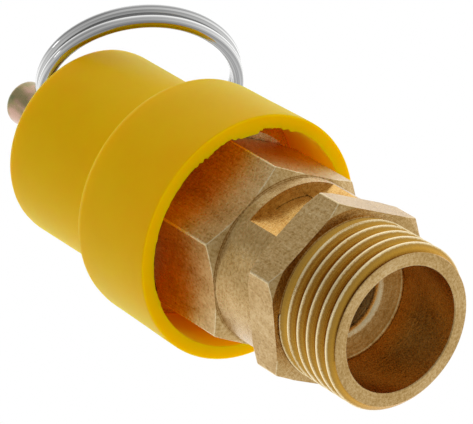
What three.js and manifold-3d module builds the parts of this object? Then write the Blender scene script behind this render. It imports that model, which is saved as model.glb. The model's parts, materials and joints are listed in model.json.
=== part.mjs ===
// Spring-loaded pressure relief valve with a G 1/2 male inlet thread.
//
// Millimetres. The origin is the centre of the inlet face, and +Z runs along the valve from the
// inlet to the pull ring. +X points through a corner of the body's two hexagons and through the
// middle of one exhaust slot.
import * as THREE from "three";
import { mergeVertices } from "three/addons/utils/BufferGeometryUtils.js";
import Module from "manifold-3d";

const wasm = await Module();
wasm.setup();

// Driving dimensions. Heights are distances from the inlet face.

const roundSegments = 40; // facets round the large turned pieces
const smallSegments = 28; // facets round the small ones
const gap = 0.1; // clearance between pieces that lie on each other
const overcut = 1; // how far a cutting shape runs past the face it opens

const thread = {
  crestRadius: 10.478,
  rootRadius: 9.316,
  pitch: 1.814,
  pilotRadius: 9.7,
  pilotHeight: 0.15,
  bevelHeight: 0.6,
  runoutStart: 8.3, // from here the grooves get shallower, up to the shoulder
  shoulderRadius: 10.3,
  top: 9.85,
  crestShift: 0.72, // height of the first crest over the +X axis, in pitches
  stepsPerTurn: 20,
  sunkDepth: 0.15, // how deep the ridge reaches into the shank under it
  rootFlat: 0.16,
};

const bodyHex = { acrossFlats: 22, bottom: 10, top: 14.8 };
const capHex = { bottom: 22, top: 35 };
const hexBevel = { radius: 11.1, height: 0.8 };
const neckRadius = 10.9;

const inlet = { radius: 8, depth: 9.9, mouthBevel: 0.3 };
const nozzle = { radius: 4.6, throat: 10.6, outerRadius: 6.3, lipRadius: 5.4, lip: 16.2 };
const chamber = { radius: 9.4, floor: 13.2, top: 22.5 };
const bonnetBoreRadius = 9.3;

const slot = { bottom: 14.8, top: 20.2, floorDistance: 8.93 };

const bonnet = {
  plugRadius: 9.05,
  plugBottom: 24,
  hexAcrossFlats: 24,
  hexTurn: THREE.MathUtils.degToRad(-11),
  hexTop: 42,
  cornerRadius: 13.75,
  barrelRadius: 10.6,
  top: 60,
  boreRadius: 7.1,
};

const holder = {
  barrelRadius: 7,
  flangeRadius: 9.1,
  flangeTop: 20.5,
  skirtBottom: 14.6,
  top: 29.2,
  pocketRadius: 4.6,
  pocketFloor: 21,
};
const sealDisc = { radius: 6.9, bottom: 16.25, top: 18.2 };
const sealScrew = { radius: 1.5, holeRadius: 1.58, headRadius: 2.6, headHeight: 1.4, top: 20.6 };
const sealWasher = { radius: 4.1, thickness: 0.6 };
const clip = { innerRadius: 3.3, outerRadius: 5, bottom: 23.6, thickness: 0.8, opening: 3 };

const stem = {
  radius: 2.95,
  headRadius: 4.2,
  headBottom: 21.3,
  headHeight: 2,
  top: 78.8,
  endBevel: 0.6,
};
const stemHoleRadius = 3.3; // the hole that the stem slides in, in every piece round it

const springSeat = { radius: 6.9, thickness: 1.3, collarRadius: 4.4, collarHeight: 1.6 };
const spring = {
  wireRadius: 1,
  meanRadius: 5.6,
  bottom: 30.6,
  top: 49.1,
  closedTurns: 1.1,
  openTurns: 4.3,
  stepsPerTurn: 16,
  wireSides: 8,
};
const setTravelGap = 0.35; // room for the upper seat to follow the adjusting screw
const setScrew = { radius: 7, height: 5.4, slotWidth: 1.6, slotDepth: 1.6 };
const lockRing = { radius: 7, height: 2.4 };

const cap = {
  rim: 29.8,
  rimRadius: 15.95,
  shoulderRadius: 15.65,
  skirtBoreRadius: 14.2,
  skirtBoreTop: 42.5,
  shoulder: 44.5,
  shoulderRounding: 2.3,
  crownRadius: 12.6,
  crownBoreRadius: 10.95,
  crownBoreTop: 61.9,
  top: 64,
  topRounding: 1.2,
  footRounding: 0.5,
  roundingSteps: 4,
};

const crossHole = { height: 72, radius: 2.2, azimuth: THREE.MathUtils.degToRad(-28) };
const pullRing = {
  wireRadius: 0.85,
  meanRadius: 12.46,
  layerGap: 0.06,
  droop: THREE.MathUtils.degToRad(36), // how far it hangs below the level of the hole
  twist: THREE.MathUtils.degToRad(5), // how far it leans round in its loose hole
  crossover: THREE.MathUtils.degToRad(36), // the stretch where the wire changes layers
  endGap: THREE.MathUtils.degToRad(3),
  startAngle: THREE.MathUtils.degToRad(215),
  stepsPerTurn: 36,
  wireSides: 8,
};

// Helpers that make closed geometry.

// A turned piece: points are [radius, height] round a closed section, or from axis to axis.
function turned(points, segments = roundSegments) {
  const touchesAxis = points[0][0] === 0;
  const outline = touchesAxis ? points : [...points, points[0]];
  const geometry = new THREE.LatheGeometry(
    outline.map(([radius, height]) => new THREE.Vector2(radius, height)),
    segments,
  );
  return facingOut(geometry.rotateX(Math.PI / 2));
}

function signedVolume(geometry) {
  const { position } = geometry.attributes;
  const { index } = geometry;
  const corners = [new THREE.Vector3(), new THREE.Vector3(), new THREE.Vector3()];
  let volume = 0;
  for (let face = 0; face < index.count; face += 3) {
    corners.forEach((corner, k) => corner.fromBufferAttribute(position, index.getX(face + k)));
    volume += corners[0].dot(corners[1].clone().cross(corners[2])) / 6;
  }
  return volume;
}

// Merges the seams of a geometry, drops its empty triangles and turns its faces outwards.
function facingOut(source) {
  source.deleteAttribute("normal");
  source.deleteAttribute("uv");
  const geometry = mergeVertices(source, 1e-5);
  const { array } = geometry.index;
  const kept = [];
  for (let face = 0; face < array.length; face += 3) {
    const [a, b, c] = array.slice(face, face + 3);
    if (a !== b && b !== c && c !== a) {
      kept.push(a, b, c);
    }
  }
  geometry.setIndex(kept);
  if (signedVolume(geometry) < 0) {
    geometry.setIndex(kept.reverse());
  }
  return geometry;
}

function toSolid(geometry) {
  return new wasm.Manifold(
    new wasm.Mesh({
      numProp: 3,
      vertProperties: new Float32Array(geometry.attributes.position.array),
      triVerts: new Uint32Array(geometry.index.array),
    }),
  );
}

function toGeometry(solid) {
  const mesh = solid.getMesh();
  const geometry = new THREE.BufferGeometry();
  geometry.setAttribute("position", new THREE.BufferAttribute(mesh.vertProperties, 3));
  geometry.setIndex(new THREE.BufferAttribute(mesh.triVerts, 1));
  return geometry;
}

function turnedSolid(points, segments) {
  return toSolid(turned(points, segments));
}

function boxSolid(size, centre) {
  const box = new THREE.BoxGeometry(...size).translate(...centre);
  return toSolid(facingOut(box));
}

// A hexagonal bar with a corner on its turned X axis and its corners bevelled at both ends.
function hexSolid(acrossFlats, bottom, top, turn, bevel) {
  const cornerRadius = acrossFlats / Math.sqrt(3);
  const corners = Array.from({ length: 6 }, (_, k) => {
    const angle = turn + (k * Math.PI) / 3;
    return new THREE.Vector2(cornerRadius * Math.cos(angle), cornerRadius * Math.sin(angle));
  });
  const prism = new THREE.ExtrudeGeometry(new THREE.Shape(corners), {
    depth: top - bottom,
    bevelEnabled: false,
  });
  const envelope = turnedSolid([
    [0, bottom],
    [bevel.radius, bottom],
    [bevel.outer, bottom + bevel.height],
    [bevel.outer, top - bevel.height],
    [bevel.radius, top],
    [0, top],
  ]);
  return toSolid(facingOut(prism.translate(0, 0, bottom))).intersect(envelope);
}

// Points of a quarter-circle rounding between two angles, as [radius, height] pairs.
function rounding(centre, radius, from, to, steps) {
  return Array.from({ length: steps + 1 }, (_, k) => {
    const angle = THREE.MathUtils.degToRad(THREE.MathUtils.lerp(from, to, k / steps));
    return [centre[0] + radius * Math.cos(angle), centre[1] + radius * Math.sin(angle)];
  });
}

// A path round the Z axis whose section stays upright: a shape's x points away from the axis
// and its y points along it. height(turns) gives the height after so many turns.
class CoilPath extends THREE.Curve {
  constructor(radius, turns, height) {
    super();
    this.radius = radius;
    this.turns = turns;
    this.height = height;
  }

  getPoint(t) {
    const turns = t * this.turns;
    const angle = turns * 2 * Math.PI;
    return new THREE.Vector3(
      this.radius * Math.cos(angle),
      this.radius * Math.sin(angle),
      this.height(turns),
    );
  }

  getPointAt(t) {
    return this.getPoint(t);
  }

  computeFrenetFrames(segments) {
    const angles = Array.from({ length: segments + 1 }, (_, k) => {
      return (k / segments) * this.turns * 2 * Math.PI;
    });
    return {
      tangents: angles.map((a) => new THREE.Vector3(-Math.sin(a), Math.cos(a), 0)),
      normals: angles.map((a) => new THREE.Vector3(Math.cos(a), Math.sin(a), 0)),
      binormals: angles.map(() => new THREE.Vector3(0, 0, 1)),
    };
  }
}

function alongCoil(section, path, stepsPerTurn) {
  const geometry = new THREE.ExtrudeGeometry(section, {
    steps: Math.round(path.turns * stepsPerTurn),
    extrudePath: path,
    bevelEnabled: false,
  });
  return facingOut(geometry);
}

function wireSection(radius, sides) {
  const corners = Array.from({ length: sides }, (_, k) => {
    const angle = (k * 2 * Math.PI) / sides;
    return new THREE.Vector2(radius * Math.cos(angle), radius * Math.sin(angle));
  });
  return new THREE.Shape(corners);
}

// The pieces.

// The helical ridge of the inlet thread, trimmed to a bevelled start.
function threadRidge() {
  const { crestRadius, rootRadius, pitch, top, stepsPerTurn } = thread;
  const sunkRadius = rootRadius - thread.sunkDepth;
  const crestHalfWidth = pitch / 8;
  const rootHalfWidth = (pitch - thread.rootFlat) / 2;
  const section = new THREE.Shape([
    new THREE.Vector2(sunkRadius, -rootHalfWidth),
    new THREE.Vector2(crestRadius, -crestHalfWidth),
    new THREE.Vector2(crestRadius, crestHalfWidth),
    new THREE.Vector2(sunkRadius, rootHalfWidth),
  ]);
  const turns = top / pitch + 3;
  const path = new CoilPath(0, turns, (turn) => (turn + thread.crestShift - 2) * pitch);
  const envelope = turnedSolid([
    [0, thread.pilotHeight],
    [thread.pilotRadius, thread.pilotHeight],
    [crestRadius + gap, thread.pilotHeight + thread.bevelHeight],
    [crestRadius + gap, top - 2 * gap],
    [thread.shoulderRadius, top],
    [0, top],
  ]);
  return toSolid(alongCoil(section, path, stepsPerTurn)).intersect(envelope);
}

function valveBody() {
  const bevel = { ...hexBevel, outer: bodyHex.acrossFlats / Math.sqrt(3) + gap };
  const shank = turnedSolid([
    [0, 0],
    [thread.pilotRadius, 0],
    [thread.pilotRadius, thread.pilotHeight],
    [thread.rootRadius, 2 * thread.pilotHeight],
    [thread.rootRadius, thread.runoutStart],
    [thread.shoulderRadius, thread.top],
    [thread.shoulderRadius, bodyHex.bottom + gap],
    [neckRadius, bodyHex.bottom + gap],
    [neckRadius, capHex.bottom + gap],
    [0, capHex.bottom + gap],
  ]);
  const waterway = turnedSolid([
    [0, -overcut],
    [inlet.radius + inlet.mouthBevel + overcut, -overcut],
    [inlet.radius, inlet.mouthBevel],
    [inlet.radius, inlet.depth],
    [nozzle.radius + gap, nozzle.throat],
    [nozzle.radius, nozzle.throat + gap],
    [nozzle.radius, nozzle.lip + overcut],
    [0, nozzle.lip + overcut],
  ]);
  const chamberSpace = turnedSolid([
    [nozzle.outerRadius, chamber.floor],
    [chamber.radius, chamber.floor],
    [chamber.radius, chamber.top],
    [bonnetBoreRadius, chamber.top + gap],
    [bonnetBoreRadius, capHex.top + overcut],
    [0, capHex.top + overcut],
    [0, nozzle.lip],
    [nozzle.lipRadius, nozzle.lip],
  ]);
  const slotDepth = neckRadius - slot.floorDistance + overcut;
  const slotCuts = [-1, 1].map((side) =>
    boxSolid(
      [slotDepth, 2 * neckRadius, slot.top - slot.bottom],
      [side * (slot.floorDistance + slotDepth / 2), 0, (slot.top + slot.bottom) / 2],
    ),
  );
  return slotCuts.reduce(
    (solid, cut) => solid.subtract(cut),
    shank
      .add(hexSolid(bodyHex.acrossFlats, bodyHex.bottom, bodyHex.top, 0, bevel))
      .add(hexSolid(bodyHex.acrossFlats, capHex.bottom, capHex.top, 0, bevel))
      .add(threadRidge())
      .subtract(waterway)
      .subtract(chamberSpace),
  );
}

function bonnetSolid() {
  const hexBottom = capHex.top + 2 * gap;
  const bevel = { radius: bonnet.hexAcrossFlats / 2, height: 0.6, outer: bonnet.cornerRadius };
  const barrel = turnedSolid([
    [0, bonnet.plugBottom],
    [bonnet.plugRadius, bonnet.plugBottom],
    [bonnet.plugRadius, hexBottom + gap],
    [bonnet.barrelRadius, hexBottom + gap],
    [bonnet.barrelRadius, bonnet.top],
    [0, bonnet.top],
  ]);
  const bore = turnedSolid([
    [0, bonnet.plugBottom - overcut],
    [bonnet.boreRadius, bonnet.plugBottom - overcut],
    [bonnet.boreRadius, bonnet.top + overcut],
    [0, bonnet.top + overcut],
  ]);
  return barrel
    .add(hexSolid(bonnet.hexAcrossFlats, hexBottom, bonnet.hexTop, bonnet.hexTurn, bevel))
    .subtract(bore);
}

function discHolder() {
  const grooveTop = clip.bottom + clip.thickness;
  return turned(
    [
      [sealScrew.holeRadius, sealDisc.top + gap / 2],
      [sealDisc.radius + gap, sealDisc.top + gap / 2],
      [sealDisc.radius + gap, holder.skirtBottom],
      [holder.flangeRadius, holder.skirtBottom],
      [holder.flangeRadius, holder.flangeTop],
      [holder.barrelRadius, holder.flangeTop],
      [holder.barrelRadius, holder.top],
      [holder.pocketRadius, holder.top],
      [holder.pocketRadius, grooveTop + gap],
      [clip.outerRadius + gap, grooveTop + gap],
      [clip.outerRadius + gap, clip.bottom - gap],
      [holder.pocketRadius, clip.bottom - gap],
      [holder.pocketRadius, holder.pocketFloor],
      [sealScrew.holeRadius, holder.pocketFloor],
    ],
    smallSegments,
  );
}

// A flat ring with an outer radius, a hole, a bottom and a thickness.
function washer(outerRadius, holeRadius, bottom, thickness) {
  return turned(
    [
      [holeRadius, bottom],
      [outerRadius, bottom],
      [outerRadius, bottom + thickness],
      [holeRadius, bottom + thickness],
    ],
    smallSegments,
  );
}

function sealWasherRing() {
  const bottom = sealDisc.bottom - gap / 2 - sealWasher.thickness;
  return washer(sealWasher.radius, sealScrew.holeRadius, bottom, sealWasher.thickness);
}

function sealScrewPiece() {
  const headTop = sealDisc.bottom - gap - sealWasher.thickness;
  return turned(
    [
      [0, headTop - sealScrew.headHeight],
      [sealScrew.headRadius - 2 * gap, headTop - sealScrew.headHeight],
      [sealScrew.headRadius, headTop - sealScrew.headHeight + 2 * gap],
      [sealScrew.headRadius, headTop],
      [sealScrew.radius, headTop],
      [sealScrew.radius, sealScrew.top],
      [0, sealScrew.top],
    ],
    smallSegments,
  );
}

// A circlip: a flat ring with a gap where its two ends face each other.
function retainingRing() {
  const ring = toSolid(washer(clip.outerRadius, clip.innerRadius, clip.bottom, clip.thickness));
  const reach = clip.outerRadius + overcut;
  const opening = boxSolid(
    [reach, clip.opening, clip.thickness + overcut],
    [reach / 2, 0, clip.bottom + clip.thickness / 2],
  );
  return ring.subtract(opening);
}

function stemPiece() {
  const headTop = stem.headBottom + stem.headHeight;
  const rod = turnedSolid(
    [
      [0, stem.headBottom],
      [stem.headRadius, stem.headBottom],
      [stem.headRadius, headTop],
      [stem.radius, headTop],
      [stem.radius, stem.top - stem.endBevel],
      [stem.radius - stem.endBevel, stem.top],
      [0, stem.top],
    ],
    smallSegments,
  );
  const drill = new THREE.CylinderGeometry(
    crossHole.radius,
    crossHole.radius,
    4 * stem.radius,
    smallSegments,
  );
  drill.rotateZ(Math.PI / 2).rotateZ(crossHole.azimuth).translate(0, 0, crossHole.height);
  return rod.subtract(toSolid(facingOut(drill)));
}

// A spring seat: a washer with a collar that centres the coil. Up is 1 with the collar on top.
function springSeatPiece(base, up) {
  const face = base + up * springSeat.thickness;
  return turned(
    [
      [stemHoleRadius, base],
      [springSeat.radius, base],
      [springSeat.radius, face],
      [springSeat.collarRadius, face],
      [springSeat.collarRadius, face + up * springSeat.collarHeight],
      [stemHoleRadius, face + up * springSeat.collarHeight],
    ],
    smallSegments,
  );
}

const upperSeatTop = spring.top + setTravelGap + springSeat.thickness;
const setScrewBottom = upperSeatTop + gap;
const lockRingBottom = setScrewBottom + setScrew.height + gap;

// The coil spring: its end turns lie close together and its middle turns are spread evenly.
function springCoil() {
  const turns = 2 * spring.closedTurns + spring.openTurns;
  const closedPitch = 2 * spring.wireRadius + gap / 2;
  const wireTravel = spring.top - spring.bottom - 2 * spring.wireRadius;
  const closedRise = spring.closedTurns * closedPitch;
  const openPitch = (wireTravel - 2 * closedRise) / spring.openTurns;
  const height = (turn) => {
    const inOpen = THREE.MathUtils.clamp(turn - spring.closedTurns, 0, spring.openTurns);
    const inClosed = turn - inOpen;
    return spring.bottom + spring.wireRadius + inClosed * closedPitch + inOpen * openPitch;
  };
  return alongCoil(
    wireSection(spring.wireRadius, spring.wireSides),
    new CoilPath(spring.meanRadius, turns, height),
    spring.stepsPerTurn,
  );
}

// The adjusting screw and the ring that locks it are slotted discs with a hole for the stem.
function slottedDisc(radius, bottom, height) {
  const disc = toSolid(washer(radius, stemHoleRadius, bottom, height));
  const top = bottom + height;
  const slotSize = [2 * radius + overcut, setScrew.slotWidth, 2 * setScrew.slotDepth];
  return disc.subtract(boxSolid(slotSize, [0, 0, top]));
}

function capShell() {
  const { roundingSteps: steps, footRounding: foot } = cap;
  const shoulderCentre = [
    cap.shoulderRadius - cap.shoulderRounding,
    cap.shoulder - cap.shoulderRounding,
  ];
  const topCentre = [cap.crownRadius - cap.topRounding, cap.top - cap.topRounding];
  return turned([
    [cap.skirtBoreRadius, cap.rim],
    [cap.rimRadius, cap.rim],
    ...rounding(shoulderCentre, cap.shoulderRounding, 0, 90, steps),
    ...rounding([cap.crownRadius + foot, cap.shoulder + foot], foot, 270, 180, 2),
    ...rounding(topCentre, cap.topRounding, 0, 90, steps),
    [stemHoleRadius, cap.top],
    [stemHoleRadius, cap.crownBoreTop],
    [cap.crownBoreRadius, cap.crownBoreTop],
    [cap.crownBoreRadius, cap.skirtBoreTop],
    [cap.skirtBoreRadius, cap.skirtBoreTop],
  ]);
}

// The split ring: two turns of wire side by side, joined by a short crossover.
function splitRing() {
  const halfLayer = pullRing.wireRadius + pullRing.layerGap / 2;
  const crossover = pullRing.crossover / (2 * Math.PI);
  const turns = 2 - crossover - pullRing.endGap / (2 * Math.PI);
  const height = (turn) => {
    const passed = THREE.MathUtils.clamp((turn - (1 - crossover)) / crossover, 0, 1);
    return halfLayer * (2 * THREE.MathUtils.smoothstep(passed, 0, 1) - 1);
  };
  const coil = alongCoil(
    wireSection(pullRing.wireRadius, pullRing.wireSides),
    new CoilPath(pullRing.meanRadius, turns, height),
    pullRing.stepsPerTurn,
  );
  return coil.rotateZ(pullRing.startAngle);
}

// Materials, by the stock or finish of each piece.

function finish(color, roughness, metalness) {
  return () => new THREE.MeshStandardMaterial({ color, roughness, metalness });
}

const brass = finish(0xb8975a, 0.35, 1);
const steel = finish(0x8d8f92, 0.4, 1);
const nickel = finish(0xc9ccd0, 0.18, 1);
const platedSteel = finish(0xb5a58f, 0.3, 1);
const rubber = finish(0x1c1c1c, 0.8, 0);
const yellowPlastic = finish(0xe0b000, 0.4, 0);

function piece(name, shape, material) {
  const geometry = shape.isBufferGeometry ? shape : toGeometry(shape);
  const mesh = new THREE.Mesh(geometry, material());
  mesh.name = name;
  return mesh;
}

// The assembly.

const valve = new THREE.Group();
valve.add(
  piece("valve_body", valveBody(), brass),
  piece("bonnet", bonnetSolid(), brass),
  piece("disc_holder", discHolder(), brass),
  piece(
    "seal_disc",
    washer(sealDisc.radius, sealScrew.holeRadius, sealDisc.bottom, sealDisc.top - sealDisc.bottom),
    rubber,
  ),
  piece("seal_washer", sealWasherRing(), steel),
  piece("seal_screw", sealScrewPiece(), steel),
  piece("stem", stemPiece(), platedSteel),
  piece("retaining_ring", retainingRing(), steel),
  piece("lower_spring_seat", springSeatPiece(holder.top + gap, 1), steel),
  piece("spring", springCoil(), steel),
  piece("upper_spring_seat", springSeatPiece(upperSeatTop, -1), steel),
  piece("adjusting_screw", slottedDisc(setScrew.radius, setScrewBottom, setScrew.height), brass),
  piece("lock_ring", slottedDisc(lockRing.radius, lockRingBottom, lockRing.height), brass),
  piece("cap", capShell(), yellowPlastic),
);

// The ring hangs through the stem's cross hole, on the +Y side of the stem.
const ringHolder = new THREE.Group();
ringHolder.position.set(0, 0, crossHole.height);
ringHolder.rotation.set(-pullRing.droop, pullRing.twist, crossHole.azimuth, "ZXY");
const ringMesh = piece("split_ring", splitRing(), nickel);
ringMesh.position.set(0, pullRing.meanRadius, 0);
ringHolder.add(ringMesh);
valve.add(ringHolder);

export default valve;
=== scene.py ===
import json
import math

import bmesh
import bpy
from mathutils import Matrix, Vector, noise


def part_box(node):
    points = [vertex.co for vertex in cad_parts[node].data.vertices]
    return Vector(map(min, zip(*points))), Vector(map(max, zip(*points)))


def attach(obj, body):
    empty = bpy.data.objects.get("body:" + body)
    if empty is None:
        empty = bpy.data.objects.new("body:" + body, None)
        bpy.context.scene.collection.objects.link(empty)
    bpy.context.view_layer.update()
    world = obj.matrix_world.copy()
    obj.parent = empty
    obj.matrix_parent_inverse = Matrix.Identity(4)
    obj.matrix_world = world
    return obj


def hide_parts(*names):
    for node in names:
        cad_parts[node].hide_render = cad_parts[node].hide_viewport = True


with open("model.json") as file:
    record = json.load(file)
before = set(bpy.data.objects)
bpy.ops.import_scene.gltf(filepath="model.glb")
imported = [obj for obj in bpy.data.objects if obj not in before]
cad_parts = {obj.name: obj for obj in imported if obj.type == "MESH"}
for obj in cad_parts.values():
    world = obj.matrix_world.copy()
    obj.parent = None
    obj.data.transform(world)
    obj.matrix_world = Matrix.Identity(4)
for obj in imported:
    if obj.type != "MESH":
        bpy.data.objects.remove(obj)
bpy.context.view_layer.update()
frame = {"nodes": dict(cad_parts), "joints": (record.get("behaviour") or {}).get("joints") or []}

MM = 0.001


def low(node):
    """The height of a CAD node's lowest point, in millimetres."""
    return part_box(node)[0].z / MM


def high(node):
    """The height of a CAD node's highest point, in millimetres."""
    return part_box(node)[1].z / MM


# ---------------------------------------------------------------- sizes

THREAD_CREST, THREAD_ROOT, THREAD_PITCH = 10.478, 9.316, 1.814
THREAD_TOP = 9.85
THREAD_SHIFT = 0.22  # height of the first groove over the +X axis, in pitches
THREAD_FLAT = 0.14  # the flat on either side of a root or a crest, in half pitches
THREAD_EASING = 0.12
THREAD_PHASES = (0, 0.06, 0.1, 0.2, 0.3, 0.38, 0.43, 0.47, 0.53, 0.57, 0.62, 0.7, 0.8, 0.9, 0.94)
PILOT_RADIUS, PILOT_HEIGHT = 9.7, 0.12
THREAD_START_SLOPE = 1.3
RUNOUT_START, SHOULDER_RADIUS = 8.3, 10.3

HEX_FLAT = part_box("valve_body")[1].y / MM
HEX_ROUNDING = 0.3
LOWER_HEX = (10.0, 14.8)
UPPER_HEX = (22.0, high("valve_body"))
LOWER_BEVEL_RADIUS, UPPER_BEVEL_RADIUS = 11.7, 11.15
BEVEL_SLOPE = math.tan(math.radians(30))
BEVEL_FOOT_ROUNDING = 0.1
HEX_EDGE_ROUNDING = 0.12
NECK_RADIUS = 10.9

SLOT_DISTANCE = 8.93
SLOT_TOP = 20.2
SLOT_END = math.acos(SLOT_DISTANCE / NECK_RADIUS)
CHAMBER_RADIUS, CHAMBER_FLOOR, CHAMBER_TOP = 9.25, 13.2, 22.4
WINDOW_END = math.acos(SLOT_DISTANCE / CHAMBER_RADIUS)

BORE_RADIUS, BORE_DEPTH, BORE_SEAM = 8.0, 9.9, 1.0  # the outline closes at the seam
MOUTH_BEVEL, FACE_ROUNDING = 0.12, 0.05
NOZZLE_RADIUS, NOZZLE_THROAT, NOZZLE_LIP = 4.6, 10.5, 16.2
NOZZLE_FOOT_RADIUS, NOZZLE_LIP_RADIUS = 6.3, 5.4
NOZZLE_HIGHLIGHT = 0.8  # width of the pale ring round the nozzle's mouth, a painted highlight
BONNET_BORE_RADIUS = 9.3

BONNET_PLUG_RADIUS = 9.05
BONNET_CLEARANCE = 0.2
BONNET_FLAT = 12.0
BONNET_CORNER = 13.75
BONNET_TURN = math.radians(-11)
BONNET_HEX_TOP = 42.0
BARREL_RADIUS = 10.6
SPRING_BORE_RADIUS = 7.1

CAP_SHOULDER = 44.5
CAP_RIM_RADIUS = 15.95
CAP_SHOULDER_RADIUS = 15.65
CAP_SHOULDER_ROUNDING = 2.6
CAP_CROWN_RADIUS = 12.6
CAP_BORE_RADIUS, CAP_BORE_TOP = 14.2, 42.5
CROWN_BORE_RADIUS, CROWN_BORE_TOP = 10.95, 61.9
FLASH_SIDE = math.radians(4)
FLASH_HEIGHT, FLASH_REACH = 0.6, 0.6

STEM_RADIUS = 2.95
STEM_HEAD_RADIUS, STEM_HEAD_HEIGHT = 4.2, 2.0
STEM_HOLE_RADIUS = 3.3
CROSS_HOLE_RADIUS = 2.2

RING_JOINT = next(joint for joint in frame["joints"] if joint["name"] == "ring_swing")
RING_WIRE = 0.84
RING_RADIUS = 12.46
RING_DROOP = math.radians(36)
RING_TWIST = math.radians(5)
RING_LAYER = RING_WIRE + 0.03  # from the ring's middle plane to the middle of either turn
RING_START = math.radians(215)
RING_CROSSOVER = 36 / 360  # the part of a turn in which the wire changes layers
RING_END_GAP = 3 / 360

HOLDER_RADIUS = 7.0
HOLDER_FLANGE_RADIUS, HOLDER_FLANGE_TOP = 9.21, 20.5
HOLDER_POCKET_RADIUS, HOLDER_POCKET_FLOOR = 4.6, 21.0
CLIP_GROOVE_RADIUS, CLIP_GROOVE_BOTTOM, CLIP_GROOVE_TOP = 5.1, 23.5, 24.5
SEAL_RECESS_TOP = 18.25
SCREW_HOLE_RADIUS, SCREW_RADIUS = 1.58, 1.5
SCREW_HEAD_RADIUS, SCREW_HEAD_HEIGHT = 2.6, 1.4
WASHER_RADIUS = 4.1

# Places in the list of brasses that the body and the bonnet share.
TURNED, BAR, CUT, THREAD, PAINTED_HIGHLIGHT = range(5)
# Places in the cap's list of plastics, after the one outside.
INSIDE, RIM = 1, 2


# ---------------------------------------------------------------- mesh helpers


def softened(points, steps=4):
    """Rounds the corners of a closed [radius, height, rounding] profile.

    Each corner becomes steps + 1 points, or one point where its rounding is 0."""
    outline = []
    count = len(points)
    for i, (radius, height, rounding) in enumerate(points):
        corner = Vector((radius, height))
        if rounding == 0:
            outline.append(corner)
            continue
        before = Vector(points[i - 1][:2]) - corner
        after = Vector(points[(i + 1) % count][:2]) - corner
        reach = min(rounding, 0.45 * before.length, 0.45 * after.length)
        start = corner + before.normalized() * reach
        end = corner + after.normalized() * reach
        for k in range(steps + 1):
            t = k / steps
            outline.append(start.lerp(corner, t).lerp(corner.lerp(end, t), t))
    return outline


def skin(columns, keep=lambda j, k: True):
    """Joins closed profiles that stand at successive angles round the axis.

    columns holds (angle, profile) pairs, the last one at the first one's place. keep says
    whether the face between columns j and j + 1 and points k and k + 1 exists."""
    mesh = bmesh.new()
    rings = []
    for angle, profile in columns:
        direction = Vector((math.cos(angle), math.sin(angle), 0)) * MM
        rings.append([mesh.verts.new(direction * r + Vector((0, 0, z * MM))) for r, z in profile])
    count = len(rings[0])
    for j in range(len(rings) - 1):
        for k in range(count):
            if keep(j, k):
                n = (k + 1) % count
                mesh.faces.new((rings[j][k], rings[j + 1][k], rings[j + 1][n], rings[j][n]))
    bmesh.ops.remove_doubles(mesh, verts=mesh.verts, dist=2e-6)
    bmesh.ops.dissolve_degenerate(mesh, edges=mesh.edges, dist=1e-7)
    return mesh


def linked(name, data):
    """A new object of the scene."""
    item = bpy.data.objects.new(name, data)
    bpy.context.scene.collection.objects.link(item)
    return item


def turned(points, segments=192):
    """A turned piece from a closed profile of [radius, height, rounding] points."""
    profile = softened(points)
    angles = [2 * math.pi * j / segments for j in range(segments + 1)]
    return skin([(angle, profile) for angle in angles])


def finished(name, mesh, body, node, materials, sharp_angle=28):
    """Turns a bmesh into a smooth-shaded piece on a body, in the place of a CAD node."""
    bmesh.ops.recalc_face_normals(mesh, faces=mesh.faces)
    data = bpy.data.meshes.new(name)
    mesh.to_mesh(data)
    mesh.free()
    for polygon in data.polygons:
        polygon.use_smooth = True
    data.set_sharp_from_angle(angle=math.radians(sharp_angle))
    piece = linked(name, data)
    for material in materials:
        data.materials.append(material)
    flatten = piece.modifiers.new("flatten", "WEIGHTED_NORMAL")
    flatten.keep_sharp = True
    flatten.weight = 80
    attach(piece, body)
    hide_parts(node)
    return piece


def hex_radius(angle, flat, rounding):
    """The distance to a hexagon's outline, with a rounded corner at angle 0."""
    from_corner = abs((angle + math.pi / 6) % (math.pi / 3) - math.pi / 6)
    centre = (flat - rounding) / math.cos(math.pi / 6)
    tangent = math.atan2(rounding / 2, centre + rounding * math.cos(math.pi / 6))
    if from_corner > tangent:
        return flat / math.cos(math.pi / 6 - from_corner)
    across = centre * math.sin(from_corner)
    return centre * math.cos(from_corner) + math.sqrt(rounding**2 - across**2)


def hex_angles(turn, spread=math.radians(1.1), steps=3):
    """Closely spaced angles round the six corners of a hexagon turned by turn."""
    offsets = [spread * k / steps for k in range(-steps, steps + 1)]
    return [turn + k * math.pi / 3 + offset for k in range(6) for offset in offsets]


def round_turn(extra, segments=240):
    """Evenly spaced angles with extra ones added, from 0 to a full turn, both included."""
    full = 2 * math.pi
    even = [full * j / segments for j in range(segments)]
    ordered = sorted({round(angle % full, 6) for angle in [*even, *extra]})
    spaced = [ordered[0]]
    for angle in ordered[1:]:
        if angle - spaced[-1] > 1e-4:
            spaced.append(angle)
    return [*spaced, full]


# ---------------------------------------------------------------- the valve's body


def thread_profile(phase):
    """The thread's radius at a phase from 0 at the root to 0.5 at the crest."""
    rise = (0.5 - abs(phase % 1 - 0.5)) * 2
    flank = min(max((rise - THREAD_FLAT) / (1 - 2 * THREAD_FLAT), 0), 1)
    eased = flank + THREAD_EASING * math.sin(2 * math.pi * flank) / math.pi
    return THREAD_ROOT + (THREAD_CREST - THREAD_ROOT) * min(max(eased, 0), 1)


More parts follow.
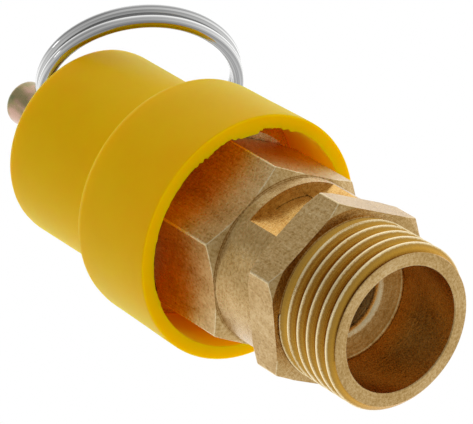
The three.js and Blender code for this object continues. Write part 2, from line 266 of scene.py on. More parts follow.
def thread_points(angle):
    """The thread's outline at one angle, from the pilot to the hexagon's shoulder."""
    turn = angle / (2 * math.pi)
    pitches = math.ceil(THREAD_TOP / THREAD_PITCH) + 2
    points = []
    for pitch in range(-2, pitches):
        for phase in THREAD_PHASES:
            height = (pitch + phase + turn + THREAD_SHIFT) * THREAD_PITCH
            inside = min(max(height, PILOT_HEIGHT), THREAD_TOP)
            start = PILOT_RADIUS + (inside - PILOT_HEIGHT) * THREAD_START_SLOPE
            runout = (inside - RUNOUT_START) / (THREAD_TOP - RUNOUT_START)
            floor = THREAD_ROOT + (SHOULDER_RADIUS - THREAD_ROOT) * max(runout, 0)
            if inside == PILOT_HEIGHT:
                radius = PILOT_RADIUS
            elif inside == THREAD_TOP:
                radius = SHOULDER_RADIUS
            else:
                radius = min(max(thread_profile(phase), floor), start)
            points.append(Vector((radius, inside)))
    return points


def bevelled_hex(radius, bottom, top, inner_bottom, inner_top, bevel_radius):
    """A hexagon's outline at an angle where it reaches radius, bevelled where it stands out."""
    bevel = max(radius - bevel_radius, 0) * BEVEL_SLOPE
    start = min(bevel_radius, radius)
    return [
        (inner_bottom, bottom, BEVEL_FOOT_ROUNDING),
        (start, bottom, 0),
        (radius, bottom + bevel, HEX_EDGE_ROUNDING),
        (radius, top - bevel, HEX_EDGE_ROUNDING),
        (start, top, 0),
        (inner_top, top, BEVEL_FOOT_ROUNDING),
    ]


def slot_radius(angle):
    """The radius at which the slots' milled floor, or the chamber behind it, stops the cut."""
    from_middle = abs((angle + math.pi / 2) % math.pi - math.pi / 2)
    if from_middle >= SLOT_END:
        return NECK_RADIUS
    return max(SLOT_DISTANCE / math.cos(from_middle), CHAMBER_RADIUS)


def body_profile(angle):
    """The body's closed outline at one angle, and where its slot and chamber walls start."""
    hexagon = hex_radius(angle, HEX_FLAT, HEX_ROUNDING)
    front = softened(
        [
            (BORE_RADIUS, BORE_SEAM, 0),
            (BORE_RADIUS, MOUTH_BEVEL, FACE_ROUNDING),
            (BORE_RADIUS + MOUTH_BEVEL, 0, FACE_ROUNDING),
            (PILOT_RADIUS, 0, FACE_ROUNDING),
            (PILOT_RADIUS, PILOT_HEIGHT, 0),
        ]
    )[1:-1]
    middle = bevelled_hex(
        hexagon, *LOWER_HEX, SHOULDER_RADIUS, slot_radius(angle), LOWER_BEVEL_RADIUS
    )
    middle[-1] = (slot_radius(angle), LOWER_HEX[1], 0)
    upper = bevelled_hex(
        hexagon, *UPPER_HEX, NECK_RADIUS, BONNET_BORE_RADIUS, UPPER_BEVEL_RADIUS
    )
    back = softened([(SHOULDER_RADIUS, THREAD_TOP, 0), *middle])[1:]
    slot_start = len(front) + len(thread_points(0)) + len(back) - 1
    above_slot = softened(
        [
            (slot_radius(angle), SLOT_TOP, 0),
            (NECK_RADIUS, SLOT_TOP, 0),
            *upper,
            (BONNET_BORE_RADIUS, CHAMBER_TOP + BONNET_CLEARANCE, 0),
            (CHAMBER_RADIUS, CHAMBER_TOP, 0),
            (CHAMBER_RADIUS, SLOT_TOP, 0),
        ]
    )
    wall_start = slot_start + len(above_slot)
    inside = softened(
        [
            (CHAMBER_RADIUS, LOWER_HEX[1], 0),
            (CHAMBER_RADIUS, CHAMBER_FLOOR, 0),
            (NOZZLE_FOOT_RADIUS, CHAMBER_FLOOR, 0),
            (NOZZLE_LIP_RADIUS, NOZZLE_LIP, 0),
            (NOZZLE_RADIUS, NOZZLE_LIP, 0),
            (NOZZLE_RADIUS, NOZZLE_THROAT, 0.9),
            (BORE_RADIUS, BORE_DEPTH, 0.3),
            (BORE_RADIUS, BORE_SEAM, 0),
        ]
    )
    outline = [*front, *thread_points(angle), *back, *above_slot, *inside]
    return outline, slot_start, wall_start


def bar_finish(normal, turn):
    """Whether a face of a hexagon is a turned end, bar stock or a rounded edge with a painted
    highlight.
    """
    if abs(normal.z) > 0.8:
        return TURNED
    aside = (math.atan2(normal.y, normal.x) - turn) % (math.pi / 3) - math.pi / 6
    # Rounded edges and corners take the pale brass of a painted highlight.
    return PAINTED_HIGHLIGHT if abs(normal.z) > 0.1 or abs(aside) > math.radians(5) else BAR


def body_finish(height, out, normal):
    """Which of the body's materials a face has, by its place and the way it looks."""
    on_bar = LOWER_HEX[0] < height < LOWER_HEX[1] or UPPER_HEX[0] < height < UPPER_HEX[1]
    if on_bar and out > NECK_RADIUS + 0.05:
        return bar_finish(normal, 0)
    in_slot = LOWER_HEX[1] <= height <= SLOT_TOP and out < NECK_RADIUS - 0.01
    in_bore = out < BORE_RADIUS + 0.02 and 0.2 < height < BORE_DEPTH - 0.3
    if in_slot or in_bore:
        return CUT
    # A pale ring round the nozzle's mouth: a painted highlight on its bevel.
    if NOZZLE_RADIUS < out < NOZZLE_RADIUS + NOZZLE_HIGHLIGHT and BORE_DEPTH < height < NOZZLE_LIP - 1:
        return PAINTED_HIGHLIGHT
    if PILOT_HEIGHT < height < THREAD_TOP and out > THREAD_ROOT - 0.1:
        return THREAD
    return TURNED


def make_body(materials):
    """The body, with windows through the slots' floors into the chamber."""
    ends = [side + sign * end for side in (0, math.pi) for sign in (-1, 1)
            for end in (SLOT_END, WINDOW_END)]
    angles = round_turn([*hex_angles(0), *ends])
    columns = [body_profile(angle) for angle in angles]
    slot_start, wall_start = columns[0][1:]

    def in_window(j):
        middle = (angles[j] + angles[j + 1]) / 2
        return abs((middle + math.pi / 2) % math.pi - math.pi / 2) < WINDOW_END

    mesh = skin(
        [(angle, column[0]) for angle, column in zip(angles, columns)],
        lambda j, k: not (k in (slot_start, wall_start) and in_window(j)),
    )
    piece = finished("valve_body_turned", mesh, "valve", "valve_body", materials)
    for polygon in piece.data.polygons:
        middle = polygon.center / MM
        polygon.material_index = body_finish(middle.z, middle.xy.length, polygon.normal)
    return piece


def make_bonnet(materials):
    """The spring housing: a plug, a hexagon with turned corners and a barrel."""
    bottom = high("valve_body") + BONNET_CLEARANCE

    def profile(angle):
        hexagon = min(hex_radius(angle - BONNET_TURN, BONNET_FLAT, HEX_ROUNDING), BONNET_CORNER)
        outline = bevelled_hex(
            hexagon, bottom, BONNET_HEX_TOP, BONNET_PLUG_RADIUS, BARREL_RADIUS, BONNET_FLAT
        )
        return softened(
            [
                (SPRING_BORE_RADIUS, low("bonnet"), 0.15),
                (BONNET_PLUG_RADIUS, low("bonnet"), 0.3),
                *outline,
                (BARREL_RADIUS, high("bonnet"), 0.3),
                (SPRING_BORE_RADIUS, high("bonnet"), 0.15),
            ]
        )

    angles = round_turn(hex_angles(BONNET_TURN))
    mesh = skin([(angle, profile(angle)) for angle in angles])
    piece = finished("bonnet_turned", mesh, "valve", "bonnet", materials)
    for polygon in piece.data.polygons:
        height = polygon.center.z / MM
        out = polygon.center.xy.length / MM
        if bottom < height < BONNET_HEX_TOP and out > BARREL_RADIUS + 0.3:
            polygon.material_index = bar_finish(polygon.normal, BONNET_TURN)
    return piece


# ---------------------------------------------------------------- the cap


def make_cap(materials):
    """The plastic cap: a skirt that tapers a little, and a narrower closed crown."""
    rim, top = low("cap"), high("cap")
    mesh = turned(
        [
            (CAP_BORE_RADIUS, rim, 0.12),
            (CAP_RIM_RADIUS, rim, 0.28),
            (CAP_RIM_RADIUS - 0.03, rim + 2, 0),
            (CAP_SHOULDER_RADIUS + 0.1, CAP_SHOULDER - 6, 0),
            (CAP_SHOULDER_RADIUS, CAP_SHOULDER, CAP_SHOULDER_ROUNDING),
            (CAP_CROWN_RADIUS, CAP_SHOULDER, 0.45),
            (CAP_CROWN_RADIUS, CAP_SHOULDER + 5, 0),
            (CAP_CROWN_RADIUS, top - 5, 0),
            (CAP_CROWN_RADIUS, top, 1.3),
            (STEM_HOLE_RADIUS, top, 0.2),
            (STEM_HOLE_RADIUS, CROWN_BORE_TOP, 0.1),
            (CROWN_BORE_RADIUS, CROWN_BORE_TOP, 0.4),
            (CROWN_BORE_RADIUS, CAP_BORE_TOP, 0.2),
            (CAP_BORE_RADIUS, CAP_BORE_TOP, 0.4),
            (CAP_BORE_RADIUS, rim + 1.2, 0),
            (CAP_BORE_RADIUS, rim + 0.5, 0),
        ],
        360,
    )
    trim_flash(mesh, rim)
    piece = finished("cap_moulded", mesh, "cap", "cap", materials, 40)
    for polygon in piece.data.polygons:
        out, height = polygon.center.xy.length / MM, polygon.center.z / MM
        # The rim's bottom faces get the plastic with the painted rim glow.
        if height < rim + 0.05:
            polygon.material_index = RIM
        # The inside gets the plastic with the painted inside glow.
        elif out < CAP_BORE_RADIUS + 0.1 and height < CAP_BORE_TOP - 0.1:
            polygon.material_index = INSIDE
    return piece


def trim_flash(mesh, rim):
    """Leaves a ragged fringe of moulding flash along the inner edge of the cap's rim."""
    for vert in mesh.verts:
        radius = vert.co.xy.length / MM
        depth = vert.co.z / MM - rim
        if depth > FLASH_HEIGHT or radius > CAP_BORE_RADIUS + 0.3:
            continue
        angle = math.atan2(vert.co.y, vert.co.x)
        coarse = noise.noise(Vector((math.cos(angle) * 4, math.sin(angle) * 4, 1.7)))
        fine = noise.noise(Vector((math.cos(angle) * 23, math.sin(angle) * 23, 4.2)))
        near_seam = max((math.cos(angle - FLASH_SIDE) - 0.8) * 5, 0.1)
        fringe = max(coarse + 0.8 * fine + 0.05, 0) * near_seam
        inward = min(1.5 * fringe, FLASH_REACH) * (1 - depth / (FLASH_HEIGHT + 0.02))
        vert.co.xy *= (radius - inward) / radius


# ---------------------------------------------------------------- the stem and the ring


def along_hole(direction):
    """A rotation that lays the Z axis along a direction."""
    return direction.to_track_quat("Z", "Y").to_matrix().to_4x4()


def make_stem(steel):
    """The rod with its head.

    The cross hole is not open: the cut only marks its outline, and the ring's wire goes through
    solid faces there. The CAD stem has the open hole."""
    bottom, top = low("stem"), high("stem")
    head_top = bottom + STEM_HEAD_HEIGHT
    mesh = turned(
        [
            (0, bottom, 0),
            (STEM_HEAD_RADIUS, bottom, 0.2),
            (STEM_HEAD_RADIUS, head_top, 0.2),
            (STEM_RADIUS, head_top, 0.1),
            (STEM_RADIUS, top, 0.75),
            (0, top, 0),
        ],
        96,
    )
    stem = finished("stem_plated", mesh, "stem", "stem", [steel])
    reach = STEM_HEAD_RADIUS + 0.8
    drill = turned(
        [(0, -reach, 0), (CROSS_HOLE_RADIUS, -reach, 0), (CROSS_HOLE_RADIUS, reach, 0), (0, reach, 0)],
        64,
    )
    axis = Vector(RING_JOINT["axis"])
    drill.transform(Matrix.Translation(Vector(RING_JOINT["pos_m"])) @ along_hole(axis))
    carve(stem, drill)
    return stem


def carve(piece, cutter_mesh):
    """Applies a boolean difference with a bmesh to a piece and marks its sharp edges."""
    bmesh.ops.recalc_face_normals(cutter_mesh, faces=cutter_mesh.faces)
    data = bpy.data.meshes.new("cutter")
    cutter_mesh.to_mesh(data)
    cutter_mesh.free()
    cutter = linked("cutter", data)
    cut = piece.modifiers.new("cut", "BOOLEAN")
    cut.operation = "DIFFERENCE"
    cut.solver = "EXACT"
    cut.object = cutter
    bpy.context.view_layer.update()
    result = bpy.data.meshes.new_from_object(
        piece.evaluated_get(bpy.context.evaluated_depsgraph_get())
    )
    piece.modifiers.remove(cut)
    piece.data = result
    bpy.data.objects.remove(cutter)
    result.set_sharp_from_angle(angle=math.radians(32))


def ring_place():
    """Where the ring hangs: from its flat drawing, through the cross hole, to the frame."""
    axis = Vector(RING_JOINT["axis"])
    return (
        Matrix.Translation(Vector(RING_JOINT["pos_m"]))
        @ Matrix.Rotation(math.atan2(axis.y, axis.x), 4, "Z")
        @ Matrix.Rotation(-RING_DROOP, 4, "X")
        @ Matrix.Rotation(RING_TWIST, 4, "Y")
    )


def make_ring(nickel):
    """Two turns of wire side by side, joined by a short crossover, hung through the stem."""
    sides, steps_per_turn = 20, 150
    turns = 2 - RING_CROSSOVER - RING_END_GAP
    steps = round(turns * steps_per_turn)
    mesh = bmesh.new()
    rings = []
    for step in range(steps + 1):
        turn = turns * step / steps
        passed = min(max((turn - (1 - RING_CROSSOVER)) / RING_CROSSOVER, 0), 1)
        layer = RING_LAYER * (2 * passed * passed * (3 - 2 * passed) - 1)
        angle = RING_START + turn * 2 * math.pi
        end_taper = min(1, 0.72 + 0.14 * min(step, steps - step))
        ring = []
        for side in range(sides):
            around = side * 2 * math.pi / sides
            out = RING_RADIUS + RING_WIRE * math.cos(around) * end_taper
            up = layer + RING_WIRE * math.sin(around) * end_taper
            place = Vector((out * math.cos(angle), out * math.sin(angle) + RING_RADIUS, up))
            ring.append(mesh.verts.new(place * MM))
        rings.append(ring)
    for a, b in zip(rings, rings[1:]):
        for side in range(sides):
            n = (side + 1) % sides
            mesh.faces.new((a[side], b[side], b[n], a[n]))
    for end in (rings[0], rings[-1]):
        mesh.faces.new(end)
    mesh.transform(ring_place())
    return finished("split_ring_wound", mesh, "ring", "split_ring", [nickel], 60)


# ---------------------------------------------------------------- the pieces inside


def make_holder(brass):
    """The disc holder: a recess for the seal disc below, a pocket for the stem's head above."""
    bottom, top = low("disc_holder"), high("disc_holder")
    mesh = turned(
        [
            (SCREW_HOLE_RADIUS, SEAL_RECESS_TOP, 0.05),
            (HOLDER_RADIUS, SEAL_RECESS_TOP, 0.05),
            (HOLDER_RADIUS, bottom, 0.1),
            (HOLDER_FLANGE_RADIUS, bottom, 0.2),
            (HOLDER_FLANGE_RADIUS, HOLDER_FLANGE_TOP, 0.25),
            (HOLDER_RADIUS, HOLDER_FLANGE_TOP, 0.1),
            (HOLDER_RADIUS, top, 0.3),
            (HOLDER_POCKET_RADIUS, top, 0.2),
            (HOLDER_POCKET_RADIUS, CLIP_GROOVE_TOP, 0.05),
            (CLIP_GROOVE_RADIUS, CLIP_GROOVE_TOP, 0.05),
            (CLIP_GROOVE_RADIUS, CLIP_GROOVE_BOTTOM, 0.05),
            (HOLDER_POCKET_RADIUS, CLIP_GROOVE_BOTTOM, 0.05),
            (HOLDER_POCKET_RADIUS, HOLDER_POCKET_FLOOR, 0.2),
            (SCREW_HOLE_RADIUS, HOLDER_POCKET_FLOOR, 0.05),
        ]
    )
    return finished("disc_holder_turned", mesh, "disc", "disc_holder", [brass])


def make_seal_washer(steel):
    bottom, top = low("seal_washer"), high("seal_washer")
    mesh = turned(
        [
            (SCREW_HOLE_RADIUS, bottom, 0.1),
            (WASHER_RADIUS, bottom, 0.2),
            (WASHER_RADIUS, top, 0.1),
            (SCREW_HOLE_RADIUS, top, 0.05),
        ],
        96,
    )
    return finished("seal_washer_turned", mesh, "disc", "seal_washer", [steel])


def make_seal_screw(steel):
    bottom, top = low("seal_screw"), high("seal_screw")
    head_top = bottom + SCREW_HEAD_HEIGHT
    mesh = turned(
        [
            (0, bottom, 0),
            (SCREW_HEAD_RADIUS, bottom, 0.35),
            (SCREW_HEAD_RADIUS, head_top, 0.15),
            (SCREW_RADIUS, head_top, 0.05),
            (SCREW_RADIUS, top, 0.2),
            (0, top, 0),
        ],
        96,
    )
    return finished("seal_screw_turned", mesh, "disc", "seal_screw", [steel])


# ---------------------------------------------------------------- materials


class Nodes:
    """A short way to write a material's node tree."""

    def __init__(self, name):
        self.material = bpy.data.materials.new(name)
        self.material.use_nodes = True
        self.tree = self.material.node_tree
        self.shader = self.tree.nodes["Principled BSDF"]

    def add(self, kind, **settings):
        """A new node with some of its settings changed."""
        node = self.tree.nodes.new(kind)
        for name, value in settings.items():
            setattr(node, name, value)
        return node

    def link(self, source, target):
        self.tree.links.new(source, target)

    def set(self, **values):
        """Sets shader inputs: an underscore stands for each space in an input's name."""
        for name, value in values.items():
            self.shader.inputs[name.replace("_", " ")].default_value = value

    def math(self, operation, a, b):
        """A sum, product or the like of two sockets or numbers."""
        node = self.add("ShaderNodeMath", operation=operation)
        for socket, value in zip(node.inputs, (a, b)):
            if isinstance(value, (int, float)):
                socket.default_value = value
            else:
                self.link(value, socket)
        return node.outputs[0]

    def average(self, a, b):
        return self.math("MULTIPLY", self.math("ADD", a, b), 0.5)

    def place(self, scale=(1, 1, 1)):
        """Object coordinates in millimetres, stretched by scale."""
        coordinates = self.add("ShaderNodeTexCoord")
        mapping = self.add("ShaderNodeMapping")
        mapping.inputs["Scale"].default_value = [s / MM for s in scale]
        self.link(coordinates.outputs["Object"], mapping.inputs["Vector"])
        return mapping.outputs["Vector"]

    def noise(self, vector, scale, detail=3, roughness=0.55):
        node = self.add("ShaderNodeTexNoise")
        node.inputs["Scale"].default_value = scale
        node.inputs["Detail"].default_value = detail
        node.inputs["Roughness"].default_value = roughness
        self.link(vector, node.inputs["Vector"])
        return node.outputs["Fac"]

    def along_profile(self):
        """A vector whose only part is the way along a turned profile, in millimetres."""
        split = self.add("ShaderNodeSeparateXYZ")
        self.link(self.place(), split.inputs[0])
        join = self.add("ShaderNodeCombineXYZ")
        self.link(self.math("ADD", self.from_axis(), split.outputs["Z"]), join.inputs[0])
        return join.outputs[0]

    def across_wire(self):
        """A vector that changes only across the ring's wire, in millimetres."""
        centre = ring_place() @ Vector((0, RING_RADIUS * MM, 0))
        inward = self.add("ShaderNodeVectorMath", operation="SUBTRACT")
        self.link(self.place(), inward.inputs[0])
        inward.inputs[1].default_value = centre / MM
        distance = self.add("ShaderNodeVectorMath", operation="LENGTH")
        self.link(inward.outputs["Vector"], distance.inputs[0])
        layer = self.add("ShaderNodeVectorMath", operation="DOT_PRODUCT")
        self.link(inward.outputs["Vector"], layer.inputs[0])
        layer.inputs[1].default_value = ring_place().to_3x3() @ Vector((0, 0, 1))
        join = self.add("ShaderNodeCombineXYZ")
        self.link(distance.outputs["Value"], join.inputs[0])
        self.link(layer.outputs["Value"], join.inputs[1])
        return join.outputs[0]

    def from_axis(self):
        """The distance from the valve's axis, in millimetres."""
        across = self.add("ShaderNodeVectorMath", operation="LENGTH")
        self.link(self.place((1, 1, 0)), across.inputs[0])
        return across.outputs["Value"]

    def ramp(self, value, stops):
        """A colour that follows value through (position, colour) stops."""
        node = self.add("ShaderNodeValToRGB")
        elements = node.color_ramp.elements
        while len(elements) < len(stops):
            elements.new(0.5)
        for element, (position, colour) in zip(elements, stops):
            element.position = position
            element.color = (*colour, 1)
        self.link(value, node.inputs["Fac"])
        return node.outputs["Color"]

    def spread(self, value, low_value, high_value):
        """Noise, which mostly lies from 0.25 to 0.75, stretched over another range."""
        node = self.add("ShaderNodeMapRange")
        node.inputs["From Min"].default_value = 0.25
        node.inputs["From Max"].default_value = 0.75
        node.inputs["To Min"].default_value = low_value
        node.inputs["To Max"].default_value = high_value
        self.link(value, node.inputs["Value"])
        return node.outputs["Result"]

    def bump(self, height, distance, strength=1.0, below=None):
        """A normal from a height, with distance in millimetres, on top of another one."""
        node = self.add("ShaderNodeBump")
        node.inputs["Distance"].default_value = distance * MM
        node.inputs["Strength"].default_value = strength
        self.link(height, node.inputs["Height"])
        if below:
            self.link(below, node.inputs["Normal"])
        return node.outputs["Normal"]

    def finish(self, colour=None, roughness=None, normal=None):
        """Links the sockets that are given to the shader."""
        for source, name in ((colour, "Base Color"), (roughness, "Roughness"), (normal, "Normal")):
            if source:
                self.link(source, self.shader.inputs[name])
        return self.material


BRASS_STOPS = ((0.41, (0.37, 0.22, 0.065)), (0.5, (0.52, 0.34, 0.135)), (0.6, (0.66, 0.48, 0.24)))
# Pale brass for a painted highlight on rounded edges and round the nozzle's mouth.
PAINTED_HIGHLIGHT_STOPS = ((0.4, (0.60, 0.43, 0.21)), (0.6, (0.80, 0.66, 0.41)))
CUT_STOPS = ((0.4, (0.62, 0.31, 0.055)), (0.5, (0.82, 0.49, 0.14)), (0.62, (0.96, 0.66, 0.27)))


def turned_brass(name, stops):
    """Brass with the fine rings that a turning tool leaves."""
    n = Nodes(name)
    n.set(Metallic=1.0)
    rings = n.noise(n.along_profile(), 4.0, 4, 0.7)
    grain = n.noise(n.place(), 2.6, 4, 0.7)
    patches = n.noise(n.place(), 0.18, 3)
    normal = n.bump(rings, 0.05, 0.7, n.bump(grain, 0.06, 0.6))
    colour = n.ramp(n.average(grain, n.average(patches, rings)), stops)
    return n.finish(colour, n.spread(grain, 0.2, 0.34), normal)


def thread_brass():
    """The thread: a painted highlight, pale, on its crests and painted shade, dark gold, in its
    grooves.
    """
    n = Nodes("brass_thread")
    n.set(Metallic=1.0)
    grain = n.noise(n.place(), 2.6, 4, 0.7)
    height = n.add("ShaderNodeMapRange")
    height.inputs["From Min"].default_value = THREAD_ROOT
    height.inputs["From Max"].default_value = THREAD_CREST
    n.link(n.from_axis(), height.inputs["Value"])
    shade = n.math("ADD", height.outputs["Result"], n.math("MULTIPLY", grain, 0.3))
    # Painted shade, dark gold, in the grooves and a painted highlight, pale, on the crests, by
    # distance from the axis.
    stops = (
        (0.2, (0.30, 0.13, 0.012)),
        (0.55, (0.58, 0.31, 0.04)),
        (0.86, (0.46, 0.26, 0.05)),
        (0.97, (0.86, 0.70, 0.40)),
    )
    colour = n.ramp(n.math("DIVIDE", shade, 1.15), stops)
    rings = n.noise(n.along_profile(), 3.0, 4, 0.7)
    normal = n.bump(rings, 0.08, 0.8, n.bump(grain, 0.06, 0.6))
    return n.finish(colour, n.spread(grain, 0.18, 0.32), normal)


def drawn_brass():
    """Brass bar stock: a dull skin with fine lines along the bar."""
    n = Nodes("brass_drawn")
    n.set(Metallic=1.0)
    lines = n.noise(n.place((5, 5, 0.5)), 1.2, 4, 0.65)
    grain = n.noise(n.place(), 2.6, 4, 0.7)
    patches = n.noise(n.place((1, 1, 0.5)), 0.3, 3)
    normal = n.bump(lines, 0.04, 0.5, n.bump(grain, 0.08, 0.8))
    colour = n.ramp(n.average(grain, n.average(patches, lines)), BRASS_STOPS)
    return n.finish(colour, n.spread(grain, 0.22, 0.4), normal)


PAINTED_GLOW_DEPTH = 12.5  # from the rim to where the painted glow stops changing
NO_PAINTED_GLOW = ((0, (0, 0, 0)), (1, (0, 0, 0)))
# Painted glow on the inside: orange, brightest at the rim and fading deeper in.
INSIDE_PAINTED_GLOW = ((0, (0.36, 0.15, 0)), (0.45, (0.17, 0.045, 0)), (1, (0.09, 0.014, 0)))
# Painted glow on the rim's bottom face, even all round.
RIM_PAINTED_GLOW = ((0, (0.14, 0.11, 0)), (1, (0.14, 0.11, 0)))


def yellow_plastic(name, glow):
    """Satin plastic, with an emission that paints a glow on the inside and the rim for the light its
    thin wall lets through.
    """
    n = Nodes(name)
    n.set(Specular_IOR_Level=0.03, Subsurface_Weight=1.0, Subsurface_Scale=2.2 * MM)
    n.set(Sheen_Weight=0.8, Sheen_Roughness=0.35, Sheen_Tint=(1.0, 0.88, 0.05, 1))
    n.set(Emission_Strength=1.0)
    rise = n.add("ShaderNodeSeparateXYZ")
    n.link(n.place(), rise.inputs[0])
    depth = n.math("DIVIDE", n.math("SUBTRACT", rise.outputs["Z"], low("cap")), PAINTED_GLOW_DEPTH)
    # Emission paints the glow, coloured by height above the rim.
    n.link(n.ramp(depth, glow), n.shader.inputs["Emission Color"])
    n.shader.inputs["Subsurface Radius"].default_value = (1.0, 0.4, 0.03)
    cloud = n.noise(n.place(), 0.12, 3)
    skin_bump = n.noise(n.place(), 1.4, 3)
    scuffs = n.noise(n.place((0.5, 0.5, 2.5)), 1.1, 5, 0.7)
    colour = n.ramp(cloud, ((0.3, (0.98, 0.48, 0.0005)), (0.7, (1.0, 0.53, 0.001))))
    return n.finish(colour, n.spread(scuffs, 0.3, 0.44), n.bump(skin_bump, 0.02, 0.35))


def plated_steel():
    """Zinc-plated steel with a mottled film, from olive to pink."""
    n = Nodes("steel_yellow_plated")
    n.set(Metallic=1.0)
    film = n.noise(n.place((1, 1, 0.5)), 0.5, 3)
    rings = n.noise(n.along_profile(), 4.0, 4, 0.7)
    stops = ((0.38, (0.25, 0.25, 0.12)), (0.5, (0.36, 0.28, 0.14)), (0.62, (0.54, 0.34, 0.25)))
    return n.finish(n.ramp(film, stops), n.spread(rings, 0.2, 0.36), n.bump(rings, 0.03, 0.4))


def bright_nickel():
    """Nickel-plated wire with streaks along it from drawing."""
    n = Nodes("nickel_bright")
    n.set(Metallic=1.0)
    haze = n.noise(n.place(), 0.8, 4)
    drawn = n.noise(n.across_wire(), 2.2, 3)
    colour = n.ramp(drawn, ((0.4, (0.33, 0.33, 0.33)), (0.6, (0.80, 0.80, 0.79))))
    return n.finish(colour, n.spread(haze, 0.05, 0.14), n.bump(drawn, 0.05, 0.6))


def plain_steel():
    """Unplated steel, for the pieces inside."""
    n = Nodes("steel_plain")
    n.set(Metallic=1.0)
    grain = n.noise(n.place(), 1.8, 4)
    colour = n.ramp(grain, ((0.3, (0.42, 0.42, 0.42)), (0.7, (0.56, 0.56, 0.57))))
    return n.finish(colour, n.spread(grain, 0.28, 0.45), n.bump(grain, 0.02, 0.4))


def black_rubber():
    """Matte rubber, for the seal disc."""
    n = Nodes("rubber_black")
    grain = n.noise(n.place(), 2.5, 4)
    colour = n.ramp(grain, ((0.3, (0.012, 0.012, 0.012)), (0.7, (0.03, 0.03, 0.03))))
    return n.finish(colour, n.spread(grain, 0.65, 0.85), n.bump(grain, 0.03, 0.5))


# ---------------------------------------------------------------- the studio

FLOOR_DEPTH, FLOOR_HALF_SIDE = 1.0, 12.0  # metres, like the camera and the lamp
CAMERA_PLACE = Vector((0.268949, -0.264665, -0.360475))
CAMERA_RIGHT = Vector((-0.076305, 0.801999, -0.592432))
CAMERA_UP = Vector((0.868287, 0.345533, 0.355928))
CAMERA_LENS = 340.45

# The tent's strength is TENT_LIGHT plus each side light times the cosine of the angle to its side.
TENT_LIGHT = 0.92
CAMERA_SIDE_LIGHT, CARD_SIDE_LIGHT = -0.46, -0.05
CARD_DIRECTION = Vector((0.51, -0.51, 0.69))
CARD_EDGE, CARD_LIGHT = 0.6, 0.58  # cosine at the card's edge, and how much of the light it leaves

KEY_DIRECTION = Vector((0.18, -0.7, 0.69))
KEY_DISTANCE, KEY_SIZE, KEY_POWER = 0.5, 0.07, 0.03


def make_camera():
    """A long lens below the inlet. Returns the direction from the valve towards it."""
    camera = linked("camera", bpy.data.cameras.new("camera"))
    back = CAMERA_RIGHT.cross(CAMERA_UP)
    turn = Matrix((CAMERA_RIGHT, CAMERA_UP, back)).transposed()
    camera.matrix_world = Matrix.Translation(CAMERA_PLACE) @ turn.to_4x4()
    camera.data.lens = CAMERA_LENS
    camera.data.clip_start = 0.01
    bpy.context.scene.camera = camera
    return back


def make_floor():
    """A pale floor far below the valve, for views from the side and from above."""
    data = bpy.data.meshes.new("floor")
    corners = [
        (FLOOR_HALF_SIDE * x, FLOOR_HALF_SIDE * y, -FLOOR_DEPTH)
        for x, y in ((-1, -1), (1, -1), (1, 1), (-1, 1))
    ]
    data.from_pydata(corners, [], [(0, 1, 2, 3)])
    floor = linked("floor", data)
    n = Nodes("floor_pale")
    n.set(Roughness=0.9, Base_Color=(0.8, 0.8, 0.8, 1))
    data.materials.append(n.material)
    floor.visible_glossy = False
    floor.visible_diffuse = False


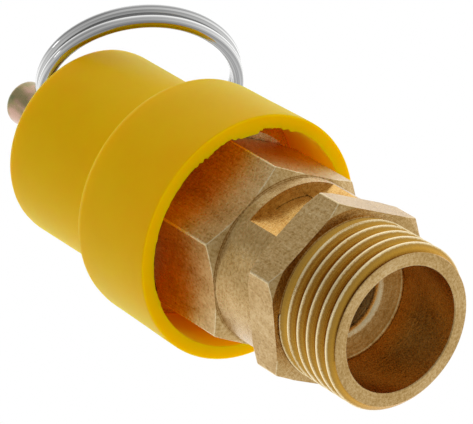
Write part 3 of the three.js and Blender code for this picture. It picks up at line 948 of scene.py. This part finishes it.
def make_world(towards_camera, card):
    """A white backdrop, and a tent of light that is brightest behind the valve, with a dark card.

    The tent is seen only in reflections and in the light on the valve."""
    world = bpy.data.worlds.new("studio")
    world.use_nodes = True
    tree = world.node_tree
    coordinates = tree.nodes.new("ShaderNodeTexCoord")
    shade = None
    for direction, amount in ((towards_camera, CAMERA_SIDE_LIGHT), (card, CARD_SIDE_LIGHT)):
        dot = tree.nodes.new("ShaderNodeVectorMath")
        dot.operation = "DOT_PRODUCT"
        dot.inputs[1].default_value = direction
        tree.links.new(coordinates.outputs["Generated"], dot.inputs[0])
        scaled = tree.nodes.new("ShaderNodeMath")
        scaled.operation = "MULTIPLY_ADD"
        scaled.inputs[1].default_value = amount
        tree.links.new(dot.outputs["Value"], scaled.inputs[0])
        if shade is None:
            scaled.inputs[2].default_value = TENT_LIGHT
        else:
            tree.links.new(shade, scaled.inputs[2])
        shade = scaled.outputs[0]
    towards_card = dot.outputs["Value"]
    dark = tree.nodes.new("ShaderNodeMapRange")
    dark.interpolation_type = "SMOOTHSTEP"
    dark.inputs["From Min"].default_value = CARD_EDGE
    dark.inputs["To Min"].default_value = 1.0
    dark.inputs["To Max"].default_value = CARD_LIGHT
    tree.links.new(towards_card, dark.inputs["Value"])
    carded = tree.nodes.new("ShaderNodeMath")
    carded.operation = "MULTIPLY"
    tree.links.new(shade, carded.inputs[0])
    tree.links.new(dark.outputs["Result"], carded.inputs[1])
    path = tree.nodes.new("ShaderNodeLightPath")
    seen = tree.nodes.new("ShaderNodeMix")
    seen.inputs["B"].default_value = 1.0
    tree.links.new(path.outputs["Is Camera Ray"], seen.inputs["Factor"])
    tree.links.new(carded.outputs[0], seen.inputs["A"])
    tree.links.new(seen.outputs["Result"], tree.nodes["Background"].inputs["Strength"])
    tree.nodes["Background"].inputs["Color"].default_value = (1, 1, 1, 1)
    bpy.context.scene.world = world


def make_light(name, direction, distance, size, power):
    """A square lamp that looks at the valve's middle from a direction."""
    light = bpy.data.lights.new(name, "AREA")
    light.size = size
    light.energy = power
    lamp = linked(name, light)
    aim = Vector((0, 0, 0.035))
    lamp.location = aim + direction.normalized() * distance
    lamp.rotation_mode = "QUATERNION"
    lamp.rotation_quaternion = direction.to_track_quat("Z", "Y")


def make_studio():
    towards_camera = make_camera()
    make_floor()
    make_world(towards_camera, CARD_DIRECTION.normalized())
    make_light("key", KEY_DIRECTION, KEY_DISTANCE, KEY_SIZE, KEY_POWER)
    bpy.context.scene.view_settings.view_transform = "Standard"


# ---------------------------------------------------------------- the build

make_studio()
brass = turned_brass("brass_turned", BRASS_STOPS)
cut_brass = turned_brass("brass_cut", CUT_STOPS)
bar_brass = drawn_brass()
steel = plain_steel()
rubber = black_rubber()
brasses = [brass, bar_brass, cut_brass, thread_brass(), turned_brass("brass_painted_highlight", PAINTED_HIGHLIGHT_STOPS)]
make_body(brasses)
make_bonnet(brasses)
make_cap([
    yellow_plastic("yellow_plastic_moulded", NO_PAINTED_GLOW),
    yellow_plastic("yellow_plastic_inside_painted_glow", INSIDE_PAINTED_GLOW),
    yellow_plastic("yellow_plastic_rim_painted_glow", RIM_PAINTED_GLOW),
])
make_stem(plated_steel())
make_ring(bright_nickel())
make_holder(cut_brass)
make_seal_washer(steel)
make_seal_screw(steel)

KEPT_NODES = {
    "seal_disc": rubber,
    "retaining_ring": steel,
    "lower_spring_seat": steel,
    "spring": steel,
    "upper_spring_seat": steel,
    "adjusting_screw": brass,
    "lock_ring": brass,
}
for kept, material in KEPT_NODES.items():
    frame["nodes"][kept].data.materials.clear()
    frame["nodes"][kept].data.materials.append(material)
